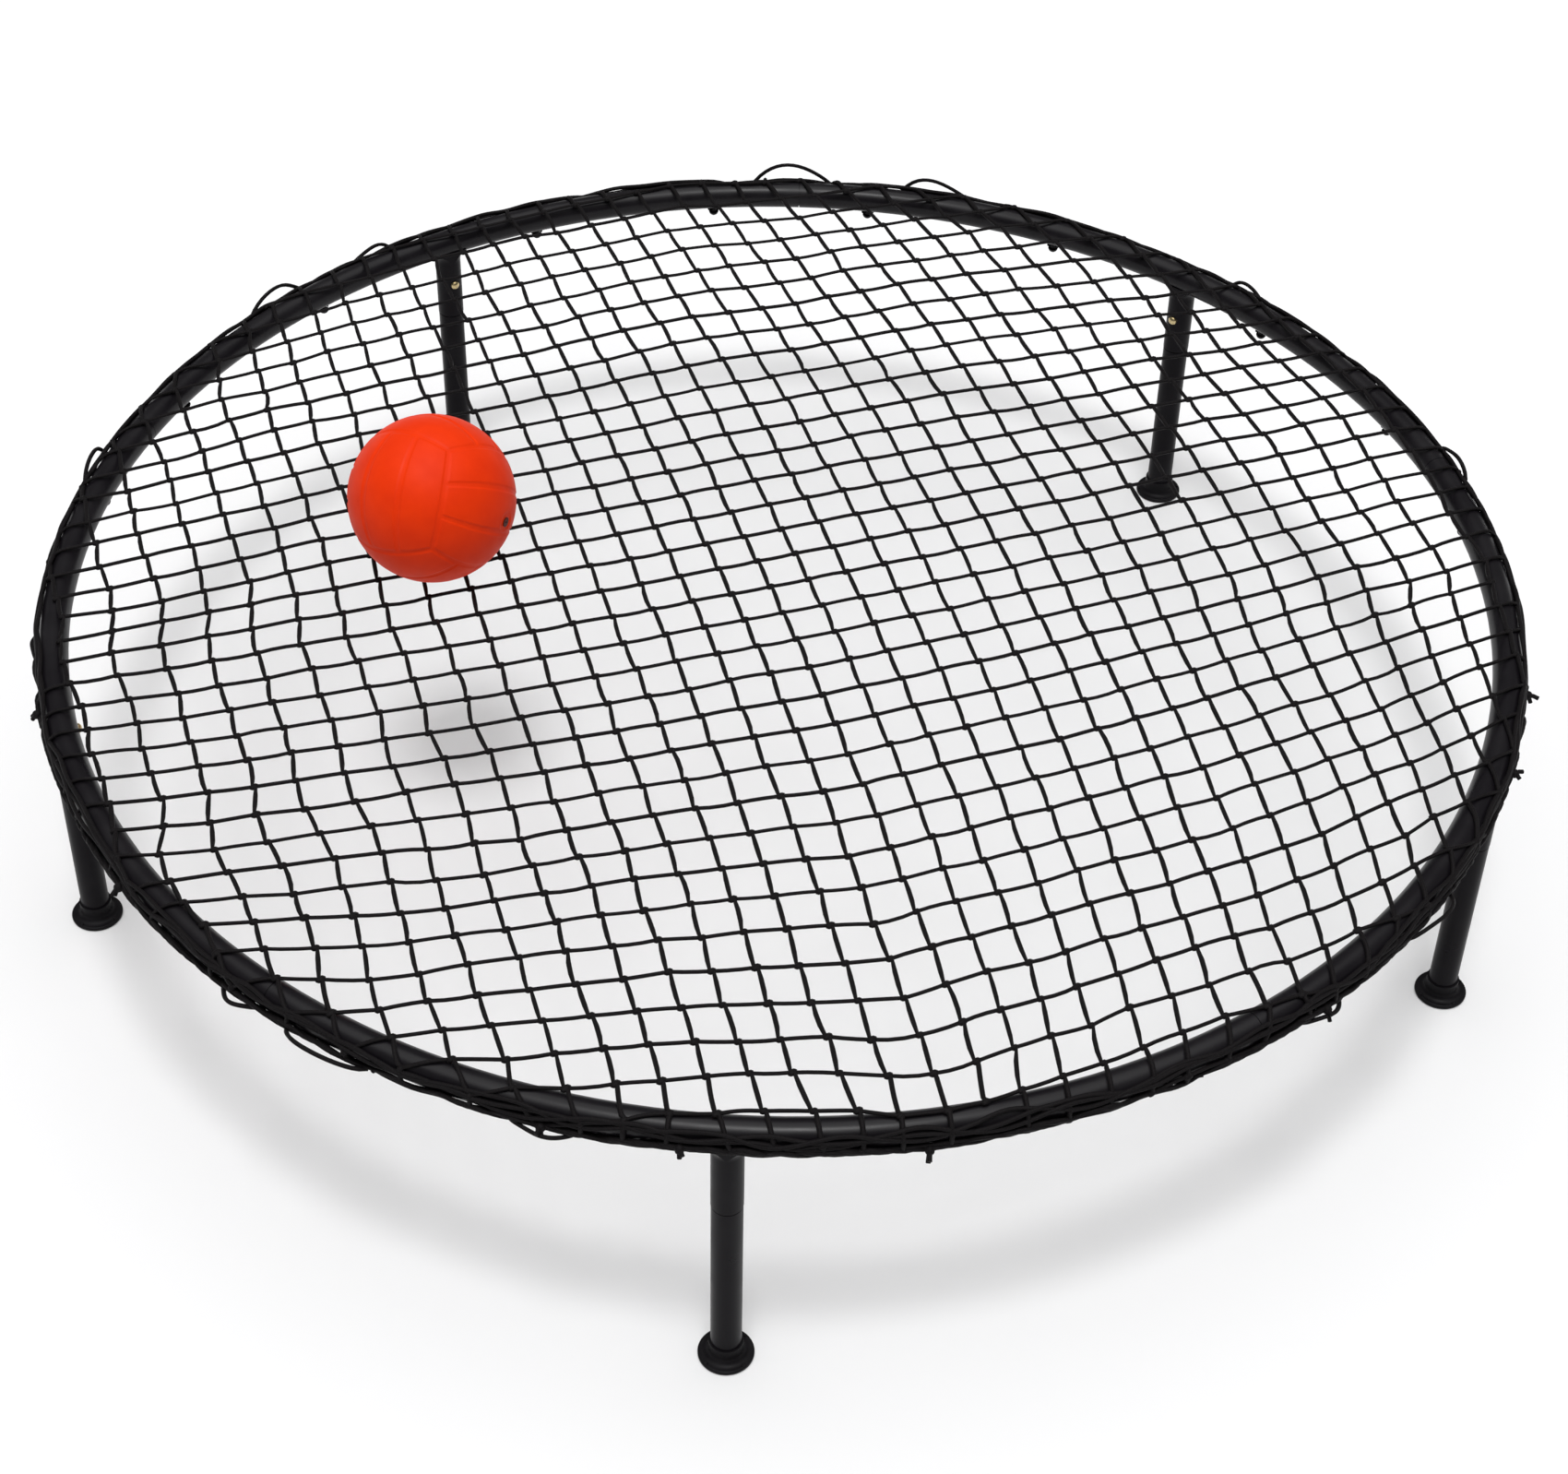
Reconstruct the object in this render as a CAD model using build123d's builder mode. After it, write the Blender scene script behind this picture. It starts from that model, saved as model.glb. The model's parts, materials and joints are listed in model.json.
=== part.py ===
"""Roundnet set: a five-piece steel ring on five pull-out legs, a knotted net hooked over it, and a ball.

Millimetres, +Z up. The origin is on the floor, under the middle of the ring, and the front leg is at -Y.
"""

from build123d import *
from math import asin, cos, degrees, radians, sin, sqrt
import os

# Overall sizes
ring_radius = 448.0  # from the ring's centre to the middle of its tube
ring_height = 189.0  # from the floor to the middle of the ring's tube
stations = ("front", "right", "back_right", "back_left", "left")
front_azimuth = -90.0

# Ring tube and its plug-in joints
tube_diameter = 18.0
tube_wall = 1.2
seam_gap = 0.4  # hairline left between two tubes that butt together
seam_from_leg = 38.0  # degrees from a leg to the end of its ring segment
ring_spigot_length = 32.0
shoulder_length = 3.0
fit_clearance = 0.08  # radial, between a spigot and its socket
drill_depth = 3  # walls, so that a hole clears a curved wall

# Leg sockets welded under the ring
socket_length = 49.0  # from the underside of the ring tube down to the mouth
socket_wall = 1.2
socket_oversize = 0.2  # radial, of the socket over the leg
horn_top = 4.0  # how far below the tube's middle the coped end stops
weld_reach = 5.0
weld_middle_out = 0.3  # halfway up its curve, as a share of the weld's reach
weld_middle_up = 0.6  # and of its height
mouth_chamfer = 0.4

# Legs
leg_diameter = 17.6
leg_wall = 1.2
leg_spigot_length = 44.0
leg_taper_length = 6.0  # inside, from the spigot's bore out to the leg's

# Foot caps
brim_diameter = 32.0
brim_thickness = 2.8
brim_round = 1.1
cap_floor = 4.0
cap_height = 13.0
neck_wall = 1.1
neck_sweep = 4.0  # concave sweep from the neck down to the brim
bump_radius = 1.0
bump_count = 4
bump_turn = 45.0  # degrees from the outward direction to the first bump
same_size = 0.01  # two radii this close are one size

# Snap buttons and their springs
button_diameter = 6.0
button_rise = 27.0  # above the socket's mouth
button_proud = 2.4
button_dome = 1.6
button_clearance = 0.08
button_flange_radius = 3.9
button_flange_thickness = 1.0
button_flange_clearance = 0.625  # along the button, from the flange to the leg's bore
strip_thickness = 0.5
strip_width = 5.0
strip_top = 4.5  # above the button's middle
strip_drop = 34.0  # from the button's middle down to the fold
strip_fold_width = 1.5
strip_clearance = 0.1

# Net pegs, four on each ring segment
peg_offsets = (-26.0, -9.0, 13.5, 31.5)  # degrees from the leg
peg_stem_diameter = 4.0
peg_head_diameter = 7.0
peg_head_height = 3.2
peg_neck_length = 3.8
peg_inside_length = 2.6
peg_clearance = 0.05

# Net
mesh_pitch = 25.4
cords_per_line = 2  # the rigid stand-in keeps one cord in every two
mesh_turn = 21.0  # degrees that the rows are turned from +X
cord_width = 2.0
cord_height = 2.0
net_clearance = 0.1
net_overhang = 4.0  # past the crown of the tube
margin_thickness = 2.0
margin_clearance = 0.2
margin_start = 62.0  # degrees above level, on the outside of the tube
margin_end = -5.0
hem_radius = 3.8
hem_overlap = 0.3  # how far the hem laps the end of the margin
hem_sides = 10
margin_facets = 6

# Ball
ball_diameter = 103.0
ball_wall = 2.2
ball_azimuth = 183.5
ball_reach = 215.0  # from the ring's axis to the ball's middle
ball_gap = 0.3
valve_azimuth = -21.0
valve_tilt = -1.0
valve_diameter = 6.0
valve_length = 6.0
valve_flange_diameter = 10.0
valve_flange_thickness = 1.2
valve_needle_diameter = 1.4
valve_needle_depth = 3.0
valve_clearance = 0.05

# Derived sizes
tube_radius = tube_diameter / 2
tube_bore_radius = tube_radius - tube_wall
ring_spigot_radius = tube_bore_radius - fit_clearance
station_step = 360.0 / len(stations)
mouth_height = ring_height - tube_radius - socket_length
socket_radius = leg_diameter / 2 + socket_oversize
socket_bore_radius = socket_radius - socket_wall
leg_radius = leg_diameter / 2
leg_bore_radius = leg_radius - leg_wall
leg_spigot_radius = socket_bore_radius - fit_clearance
leg_spigot_bore_radius = leg_spigot_radius - leg_wall
leg_top = mouth_height + leg_spigot_length
button_height = mouth_height + button_rise
button_flange_out = sqrt(leg_spigot_bore_radius**2 - button_flange_radius**2) - button_flange_clearance
net_height = ring_height + tube_radius + net_clearance
ball_radius = ball_diameter / 2
ball_centre = Vector(
    ball_reach * cos(radians(ball_azimuth)),
    ball_reach * sin(radians(ball_azimuth)),
    net_height + cord_height + ball_gap + ball_radius,
)


def along_ring(length):
    """Degrees of the ring's centre line that a length takes up."""
    return degrees(length / ring_radius)


def outward(azimuth):
    """Level direction from the ring's axis at an azimuth."""
    return Vector(cos(radians(azimuth)), sin(radians(azimuth)), 0)


def radial_plane(azimuth):
    """Upright plane through the ring's axis: local x points outward and local y points up."""
    return Plane(origin=(0, 0, 0), x_dir=outward(azimuth), z_dir=outward(azimuth - 90))


def leg_axis(azimuth):
    """Upright axis down the middle of a leg."""
    return Axis(outward(azimuth) * ring_radius, (0, 0, 1))


def button_plane(azimuth):
    """Upright plane through a button: local x points to the ring's axis and local y points up."""
    middle = outward(azimuth) * ring_radius + Vector(0, 0, button_height)
    return Plane(origin=middle, x_dir=-outward(azimuth), z_dir=outward(azimuth + 90))


def hole_plane(azimuth, distance):
    """Plane that faces the ring's axis, at a distance from a leg's middle and at the button's height."""
    middle = outward(azimuth) * (ring_radius - distance) + Vector(0, 0, button_height)
    return Plane(origin=middle, z_dir=-outward(azimuth))


def peg_plane(azimuth):
    """Plane on the underside of the ring tube, facing down."""
    spot = outward(azimuth) * ring_radius + Vector(0, 0, ring_height - tube_radius)
    return Plane(origin=spot, x_dir=outward(azimuth), z_dir=(0, 0, -1))


def dome_middle(base_radius, rise):
    """Radius, and depth below the tip, halfway down a round dome that stands on a flat base."""
    sphere_radius = (base_radius**2 + rise**2) / (2 * rise)
    half_angle = asin(base_radius / sphere_radius) / 2
    return sphere_radius * sin(half_angle), sphere_radius * (1 - cos(half_angle))


def save(builder, name):
    """Label a finished piece and write its STEP file."""
    builder.part.label = name
    export_step(builder.part, f"parts/{name}.step")
    print(name, round(builder.part.volume, 1))


def make_ring_segment(station, azimuth):
    """One arc of the ring: a tube with a reduced spigot at one end and peg holes underneath."""
    start = azimuth + seam_from_leg - station_step
    body_arc = station_step - along_ring(seam_gap)
    with BuildPart() as ring_segment:
        with BuildSketch(radial_plane(start)):
            with Locations((ring_radius, ring_height)):
                Circle(tube_radius)
                Circle(tube_bore_radius, mode=Mode.SUBTRACT)
        revolve(axis=Axis.Z, revolution_arc=body_arc)
        with BuildSketch(radial_plane(start + body_arc - along_ring(shoulder_length))):
            with Locations((ring_radius, ring_height)):
                Circle(tube_radius)
                Circle(ring_spigot_radius - tube_wall, mode=Mode.SUBTRACT)
        revolve(axis=Axis.Z, revolution_arc=along_ring(shoulder_length))
        with BuildSketch(radial_plane(start + body_arc)):
            with Locations((ring_radius, ring_height)):
                Circle(ring_spigot_radius)
                Circle(ring_spigot_radius - tube_wall, mode=Mode.SUBTRACT)
        revolve(axis=Axis.Z, revolution_arc=along_ring(ring_spigot_length))
        for offset in peg_offsets:
            with Locations(peg_plane(azimuth + offset)):
                Hole(radius=peg_stem_diameter / 2 + peg_clearance, depth=drill_depth * tube_wall)
    save(ring_segment, f"ring_segment_{station}")


def make_leg_socket(station, azimuth):
    """Short tube welded under the ring, coped to it, with a flared weld and a button hole."""
    plane = radial_plane(azimuth)
    top = ring_height - horn_top
    flare_start = ring_height - tube_radius - weld_reach
    flare_rise = top - flare_start
    flare_width = 2 * (socket_radius + weld_reach)
    weld_middle = socket_radius + weld_middle_out * weld_reach
    with BuildPart() as leg_socket:
        with BuildSketch(plane):
            with BuildLine():
                Polyline(
                    (ring_radius, flare_start),
                    (ring_radius + socket_radius, flare_start),
                )
                ThreePointArc(
                    (ring_radius + socket_radius, flare_start),
                    (ring_radius + weld_middle, flare_start + weld_middle_up * flare_rise),
                    (ring_radius + socket_radius + weld_reach, top),
                )
                Polyline(
                    (ring_radius + socket_radius + weld_reach, top),
                    (ring_radius, top),
                    (ring_radius, flare_start),
                )
            make_face()
        revolve(axis=leg_axis(azimuth))
        with BuildSketch(Plane(origin=(0, 0, flare_start), x_dir=outward(azimuth), z_dir=(0, 0, 1))):
            with Locations((ring_radius, 0)):
                Rectangle(2 * socket_radius, 2 * flare_width)
        extrude(amount=flare_rise, mode=Mode.INTERSECT)
        with BuildSketch(Plane(origin=(0, 0, mouth_height), x_dir=outward(azimuth), z_dir=(0, 0, 1))):
            with Locations((ring_radius, 0)):
                Circle(socket_radius)
        extrude(amount=top - mouth_height)
        with BuildSketch(radial_plane(azimuth - along_ring(flare_width))):
            with Locations((ring_radius, ring_height)):
                Circle(tube_radius)
        revolve(axis=Axis.Z, revolution_arc=2 * along_ring(flare_width), mode=Mode.SUBTRACT)
        chamfer(leg_socket.edges().group_by(Axis.Z)[0], length=mouth_chamfer)
        with BuildSketch(Plane(origin=(0, 0, mouth_height), x_dir=outward(azimuth), z_dir=(0, 0, 1))):
            with Locations((ring_radius, 0)):
                Circle(socket_bore_radius)
        extrude(amount=top - mouth_height, mode=Mode.SUBTRACT)
        with Locations(hole_plane(azimuth, socket_radius)):
            Hole(radius=button_diameter / 2 + button_clearance, depth=drill_depth * socket_wall)
    save(leg_socket, f"leg_socket_{station}")


def make_leg_tube(station, azimuth):
    """Leg tube with a reduced top that slides up inside its socket."""
    shoulder = mouth_height - seam_gap
    profile = (
        (leg_radius, cap_floor),
        (leg_radius, shoulder),
        (leg_spigot_radius, shoulder),
        (leg_spigot_radius, leg_top),
        (leg_spigot_bore_radius, leg_top),
        (leg_spigot_bore_radius, shoulder - leg_wall),
        (leg_bore_radius, shoulder - leg_wall - leg_taper_length),
        (leg_bore_radius, cap_floor),
    )
    with BuildPart() as leg_tube:
        with BuildSketch(radial_plane(azimuth)):
            with BuildLine():
                Polyline(*[(ring_radius + x, y) for x, y in profile], close=True)
            make_face()
        revolve(axis=leg_axis(azimuth))
        chamfer(leg_tube.edges().group_by(Axis.Z)[-1].sort_by(SortBy.RADIUS)[-1], length=mouth_chamfer)
        with Locations(hole_plane(azimuth, leg_spigot_radius)):
            Hole(radius=button_diameter / 2 + button_clearance, depth=drill_depth * leg_wall)
    save(leg_tube, f"leg_tube_{station}")


def make_foot_cap(station, azimuth):
    """Rubber foot: a cup that grips the leg, swept out to a thin round brim with small bumps."""
    neck_radius = leg_radius + neck_wall
    brim_radius = brim_diameter / 2
    sweep_low = (neck_radius + neck_sweep, brim_thickness)
    sweep_high = (neck_radius, brim_thickness + neck_sweep)
    bow = neck_sweep * (1 - 1 / sqrt(2))
    sweep_middle = (neck_radius + bow, brim_thickness + bow)
    outline = [
        sweep_high,
        (neck_radius, cap_height),
        (leg_radius, cap_height),
        (leg_radius, cap_floor),
        (0, cap_floor),
        (0, 0),
        (brim_radius, 0),
        (brim_radius, brim_thickness),
        sweep_low,
    ]
    with BuildPart() as foot_cap:
        with BuildSketch(radial_plane(azimuth)):
            with BuildLine():
                Polyline(*[(ring_radius + x, y) for x, y in outline])
                ThreePointArc(
                    (ring_radius + sweep_low[0], sweep_low[1]),
                    (ring_radius + sweep_middle[0], sweep_middle[1]),
                    (ring_radius + sweep_high[0], sweep_high[1]),
                )
            make_face()
        revolve(axis=leg_axis(azimuth))
        rounds = foot_cap.edges().filter_by(GeomType.CIRCLE)
        rim = rounds.filter_by(lambda e: abs(e.radius - brim_radius) < same_size)
        fillet(rim, radius=brim_round)
        bump_reach = (brim_radius + sweep_low[0] - brim_round) / 2
        middle = Plane(origin=outward(azimuth) * ring_radius, x_dir=outward(azimuth + bump_turn), z_dir=(0, 0, 1))
        with Locations(middle.offset(brim_thickness)):
            with PolarLocations(bump_reach, bump_count):
                Sphere(bump_radius)
    save(foot_cap, f"foot_cap_{station}")


def make_snap_button(station, azimuth):
    """Domed pin with a flange that stops it inside the leg."""
    button_radius = button_diameter / 2
    tip = socket_radius + button_proud
    dome_radius, dome_depth = dome_middle(button_radius, button_dome)
    with BuildPart() as snap_button:
        with BuildSketch(button_plane(azimuth)):
            with BuildLine():
                Polyline(
                    (tip, 0),
                    (button_flange_out - button_flange_thickness, 0),
                    (button_flange_out - button_flange_thickness, button_flange_radius),
                    (button_flange_out, button_flange_radius),
                    (button_flange_out, button_radius),
                    (tip - button_dome, button_radius),
                )
                ThreePointArc(
                    (tip - button_dome, button_radius),
                    (tip - dome_depth, dome_radius),
                    (tip, 0),
                )
            make_face()
        revolve(axis=Axis(button_plane(azimuth).origin, -outward(azimuth)))
    save(snap_button, f"snap_button_{station}")


def make_snap_spring(station, azimuth):
    """Spring strip folded to a V inside the leg: one arm behind the button, one on the far wall."""
    front = button_flange_out - button_flange_thickness - strip_clearance - strip_thickness / 2
    half_width = strip_width / 2
    back = strip_clearance + strip_thickness / 2 - sqrt(leg_spigot_bore_radius**2 - half_width**2)
    with BuildPart() as snap_spring:
        with BuildSketch(button_plane(azimuth)):
            with BuildLine():
                FilletPolyline(
                    (front, strip_top),
                    (front, -button_flange_radius),
                    (back + strip_fold_width, -strip_drop),
                    (back, -strip_drop),
                    (back, strip_top),
                    radius=strip_thickness,
                )
            trace(line_width=strip_thickness)
        extrude(amount=half_width, both=True)
    save(snap_spring, f"snap_spring_{station}")


def make_net_pegs(station, azimuth):
    """Four round-headed pegs pushed into the underside of one ring segment."""
    stem_radius = peg_stem_diameter / 2
    head_radius = peg_head_diameter / 2
    tip = peg_neck_length + peg_head_height
    dome_radius, dome_depth = dome_middle(head_radius, peg_head_height)
    with BuildPart() as net_pegs:
        for offset in peg_offsets:
            spot = outward(azimuth + offset) * ring_radius
            foot = ring_height - tube_radius
            with BuildSketch(radial_plane(azimuth + offset)):
                with BuildLine():
                    Polyline(
                        (ring_radius, foot - tip),
                        (ring_radius, foot + peg_inside_length),
                        (ring_radius + stem_radius, foot + peg_inside_length),
                        (ring_radius + stem_radius, foot - peg_neck_length),
                        (ring_radius + head_radius, foot - peg_neck_length),
                    )
                    ThreePointArc(
                        (ring_radius + head_radius, foot - peg_neck_length),
                        (ring_radius + dome_radius, foot - tip + dome_depth),
                        (ring_radius, foot - tip),
                    )
                make_face()
            revolve(axis=Axis(spot, (0, 0, 1)))
    save(net_pegs, f"net_pegs_{station}")


def make_net():
    """Playing mesh: square cells of cord, turned on the ring and lying on the crown of its tube."""
    edge_radius = ring_radius + net_overhang
    cell = cords_per_line * mesh_pitch
    window = cell - cord_width
    windows_across = 2 * int(edge_radius / cell) + 2
    with BuildPart() as net:
        with BuildSketch(Plane.XY.offset(net_height)):
            Circle(edge_radius)
            with Locations(Location((0, 0, 0), (0, 0, mesh_turn))):
                with GridLocations(cell, cell, windows_across, windows_across):
                    Rectangle(window, window, mode=Mode.SUBTRACT)
        extrude(amount=cord_height)
    save(net, "net")


def make_net_margin():
    """Margin of the net, folded over the outside of the ring tube and gathered into a hem."""
    step = (margin_end - margin_start) / margin_facets
    angles = [margin_start + step * count for count in range(margin_facets + 1)]
    corner = 1 / cos(radians(step / 2))  # keeps the flats of the section clear of the tube
    inner = (tube_radius + margin_clearance) * corner
    outer = inner + margin_thickness * corner

    def on_arc(radius, angle):
        """Point round the tube's section, at an angle above level."""
        across = radius * cos(radians(angle))
        return ring_radius + across, ring_height + radius * sin(radians(angle))

    inside = [on_arc(inner, angle) for angle in angles]
    outside = [on_arc(outer, angle) for angle in reversed(angles)]
    with BuildPart() as net_margin:
        with BuildSketch(Plane.XZ):
            with BuildLine():
                Polyline(*inside, *outside, close=True)
            make_face()
            with Locations(on_arc(inner + hem_overlap + hem_radius, margin_end)):
                RegularPolygon(hem_radius, hem_sides)
        revolve(axis=Axis.Z)
    save(net_margin, "net_margin")


def make_ball():
    """Hollow rubber ball with a hole for its valve."""
    with BuildPart() as ball_shell:
        with Locations(ball_centre):
            Sphere(ball_radius)
            Sphere(ball_radius - ball_wall, mode=Mode.SUBTRACT)
        with Locations(valve_plane()):
            Hole(radius=valve_diameter / 2 + valve_clearance, depth=drill_depth * ball_wall)
    save(ball_shell, "ball_shell")


def valve_direction():
    """Direction from the ball's middle to its valve."""
    level = outward(valve_azimuth) * cos(radians(valve_tilt))
    return level + Vector(0, 0, sin(radians(valve_tilt)))


def valve_plane():
    """Plane that touches the ball where its valve is, facing out."""
    return Plane(origin=ball_centre + valve_direction() * ball_radius, z_dir=valve_direction())


def make_ball_valve():
    """Rubber plug through the ball's wall, flanged inside, with a needle hole."""
    face = sqrt(ball_radius**2 - (valve_diameter / 2) ** 2) - ball_radius
    flange_face = sqrt((ball_radius - ball_wall) ** 2 - (valve_flange_diameter / 2) ** 2) - ball_radius
    with BuildPart() as ball_valve:
        with BuildSketch(valve_plane().offset(face)):
            Circle(valve_diameter / 2)
        extrude(amount=-valve_length)
        with BuildSketch(valve_plane().offset(flange_face - valve_clearance)):
            Circle(valve_flange_diameter / 2)
        extrude(amount=-valve_flange_thickness)
        with Locations(valve_plane().offset(face)):
            Hole(radius=valve_needle_diameter / 2, depth=valve_needle_depth)
    save(ball_valve, "ball_valve")


os.makedirs("parts", exist_ok=True)
for number, name in enumerate(stations):
    leg_azimuth = front_azimuth + number * station_step
    make_ring_segment(name, leg_azimuth)
    make_leg_socket(name, leg_azimuth)
    make_leg_tube(name, leg_azimuth)
    make_foot_cap(name, leg_azimuth)
    make_snap_button(name, leg_azimuth)
    make_snap_spring(name, leg_azimuth)
    make_net_pegs(name, leg_azimuth)
make_net()
make_net_margin()
make_ball()
make_ball_valve()
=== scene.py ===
"""Looks of a roundnet set: its finishes, knotted net, gathered margin, grooved ball and studio."""

import json
import logging
import math
import random
from collections.abc import Iterable, Sequence
from dataclasses import dataclass, field
from enum import Enum

import bmesh
import bpy
from mathutils import Euler, Matrix, Vector, noise


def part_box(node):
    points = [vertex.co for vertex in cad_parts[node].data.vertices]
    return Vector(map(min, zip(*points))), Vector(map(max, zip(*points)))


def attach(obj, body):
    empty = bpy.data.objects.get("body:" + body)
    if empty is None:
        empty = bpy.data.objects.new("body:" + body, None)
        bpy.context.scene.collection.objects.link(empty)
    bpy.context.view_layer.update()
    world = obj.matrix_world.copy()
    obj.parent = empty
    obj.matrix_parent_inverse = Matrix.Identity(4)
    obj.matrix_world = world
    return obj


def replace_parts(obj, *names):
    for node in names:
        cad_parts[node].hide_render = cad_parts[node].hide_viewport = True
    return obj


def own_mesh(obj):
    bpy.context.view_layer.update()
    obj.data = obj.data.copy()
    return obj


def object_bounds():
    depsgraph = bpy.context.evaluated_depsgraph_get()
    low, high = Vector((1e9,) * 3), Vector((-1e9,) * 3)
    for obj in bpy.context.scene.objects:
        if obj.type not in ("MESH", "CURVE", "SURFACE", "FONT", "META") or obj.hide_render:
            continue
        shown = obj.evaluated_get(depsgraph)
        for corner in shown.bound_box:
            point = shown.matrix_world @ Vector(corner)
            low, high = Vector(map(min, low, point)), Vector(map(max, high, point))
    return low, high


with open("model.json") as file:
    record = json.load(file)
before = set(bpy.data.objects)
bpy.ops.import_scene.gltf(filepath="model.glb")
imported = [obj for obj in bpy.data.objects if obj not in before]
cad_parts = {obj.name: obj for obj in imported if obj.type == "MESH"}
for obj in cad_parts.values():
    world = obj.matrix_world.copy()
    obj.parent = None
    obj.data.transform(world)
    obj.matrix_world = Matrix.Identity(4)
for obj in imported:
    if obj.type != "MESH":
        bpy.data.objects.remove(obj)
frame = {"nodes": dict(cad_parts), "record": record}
cad_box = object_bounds()

log = logging.getLogger("roundnet")

MILLIMETRE = 0.001
STATIONS: tuple[str, ...] = ("front", "right", "back_right", "back_left", "left")
FRONT_AZIMUTH = -90.0
STATION_STEP = 72.0
PEG_OFFSETS: tuple[float, ...] = (-26.0, -9.0, 13.5, 31.5)

Line = list[Vector]


class Body(Enum):
    """The CAD bodies that new pieces ride on."""

    FRAME = "root"
    BALL = "ball"


class Slot(Enum):
    """Names of the record's material slots for the cord, the ball's rubber and the spring steel."""

    CORD = "net_cord"
    BALL = "ball_rubber"
    SPRING = "spring_steel"


# --------------------------------------------------------------------------- finishes


class Shader:
    """A material with its main shader, and short calls that add nodes to it."""

    def __init__(self, name: str, colour: Sequence[float], roughness: float) -> None:
        """Starts a material.

        Args:
            name: The material's name.
            colour: Linear red, green and blue of the surface.
            roughness: How matt the surface is, from 0 to 1.
        """
        self.material = bpy.data.materials.new(name)
        self.material.use_nodes = True
        self.tree = self.material.node_tree
        self.surface = self.tree.nodes["Principled BSDF"]
        self.surface.inputs["Base Color"].default_value = (*colour, 1.0)
        self.surface.inputs["Roughness"].default_value = roughness
        self.places = self.tree.nodes.new("ShaderNodeTexCoord")
        self.material.diffuse_color = (*colour, 1.0)

    def set(self, **values: float) -> None:
        """Sets constant values on the main shader's sockets, named with _ for a space."""
        for name, value in values.items():
            self.surface.inputs[name.replace("_", " ")].default_value = value

    def grain(self, size: float, detail: float = 2.0, on_uv: bool = False) -> bpy.types.NodeSocket:
        """Adds a noise pattern.

        Args:
            size: Size of one grain, in metres on Object coordinates.
            detail: How many finer layers the noise has.
            on_uv: Follow the piece's own UV map, where size is in its units.

        Returns:
            The noise's height, around 0.5.
        """
        node = self.tree.nodes.new("ShaderNodeTexNoise")
        node.inputs["Scale"].default_value = 1.0 / size
        node.inputs["Detail"].default_value = detail
        self.tree.links.new(self.places.outputs["UV" if on_uv else "Object"], node.inputs["Vector"])
        return node.outputs["Fac"]

    def stretch(self, value: bpy.types.NodeSocket, low: float, high: float,
                start: float = 0.3, end: float = 0.7) -> bpy.types.NodeSocket:
        """Maps a value from start..end to low..high, held at the ends."""
        node = self.tree.nodes.new("ShaderNodeMapRange")
        node.inputs["From Min"].default_value = start
        node.inputs["From Max"].default_value = end
        node.inputs["To Min"].default_value = low
        node.inputs["To Max"].default_value = high
        self.tree.links.new(value, node.inputs["Value"])
        return node.outputs["Result"]

    def tint(self, value: bpy.types.NodeSocket, low: Sequence[float], high: Sequence[float]) -> None:
        """Colours the surface from low to high as the value goes from 0 to 1."""
        node = self.tree.nodes.new("ShaderNodeMix")
        node.data_type = "RGBA"
        node.inputs["A"].default_value = (*low, 1.0)
        node.inputs["B"].default_value = (*high, 1.0)
        self.tree.links.new(value, node.inputs["Factor"])
        self.tree.links.new(node.outputs["Result"], self.surface.inputs["Base Color"])

    def roughen(self, value: bpy.types.NodeSocket) -> None:
        """Takes the roughness from a value."""
        self.tree.links.new(value, self.surface.inputs["Roughness"])

    def bump(self, value: bpy.types.NodeSocket, depth: float, strength: float = 1.0) -> None:
        """Raises the surface by a value, and adds to any bump that is already there.

        Args:
            value: Height, from 0 to 1.
            depth: What a height of 1 is, in metres.
            strength: Share of the bump that is seen.
        """
        node = self.tree.nodes.new("ShaderNodeBump")
        node.inputs["Distance"].default_value = depth
        node.inputs["Strength"].default_value = strength
        self.tree.links.new(value, node.inputs["Height"])
        socket = self.surface.inputs["Normal"]
        if socket.links:
            self.tree.links.new(socket.links[0].from_socket, node.inputs["Normal"])
        self.tree.links.new(node.outputs["Normal"], socket)


@dataclass(frozen=True)
class PowderCoat:
    """Near-black satin powder coat on steel tube: fine orange peel, faint rubbed patches."""

    name: str
    colour: tuple[float, float, float] = (0.0056, 0.0047, 0.0062)
    rubbed: tuple[float, float, float] = (0.0092, 0.0082, 0.0098)
    gloss: float = 0.07
    peel_size: float = 0.9 * MILLIMETRE
    peel_depth: float = 0.02 * MILLIMETRE
    patch_size: float = 35 * MILLIMETRE

    def make(self) -> bpy.types.Material:
        """Builds the finish."""
        shader = Shader(self.name, self.colour, 0.4)
        shader.set(Specular_IOR_Level=self.gloss)
        patches = shader.grain(self.patch_size, 5.0)
        shader.tint(shader.stretch(patches, 0.0, 1.0, 0.45, 0.75), self.colour, self.rubbed)
        shader.roughen(shader.stretch(patches, 0.27, 0.40))
        shader.bump(shader.grain(self.peel_size, 1.5), self.peel_depth)
        return shader.material


@dataclass(frozen=True)
class MouldedRubber:
    """Dense black rubber or plastic from a mould: even, slightly glossy, with a fine bloom."""

    name: str
    colour: tuple[float, float, float] = (0.0056, 0.0050, 0.0060)
    bloom: tuple[float, float, float] = (0.0100, 0.0092, 0.0106)
    matt: float = 0.42
    skin_size: float = 0.5 * MILLIMETRE
    skin_depth: float = 0.012 * MILLIMETRE

    def make(self) -> bpy.types.Material:
        """Builds the finish."""
        shader = Shader(self.name, self.colour, self.matt)
        shader.set(Specular_IOR_Level=0.09)
        cloud = shader.grain(9 * MILLIMETRE, 4.0)
        shader.tint(shader.stretch(cloud, 0.0, 1.0, 0.4, 0.8), self.colour, self.bloom)
        shader.roughen(shader.stretch(cloud, self.matt - 0.08, self.matt + 0.1))
        shader.bump(shader.grain(self.skin_size), self.skin_depth)
        return shader.material


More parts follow.
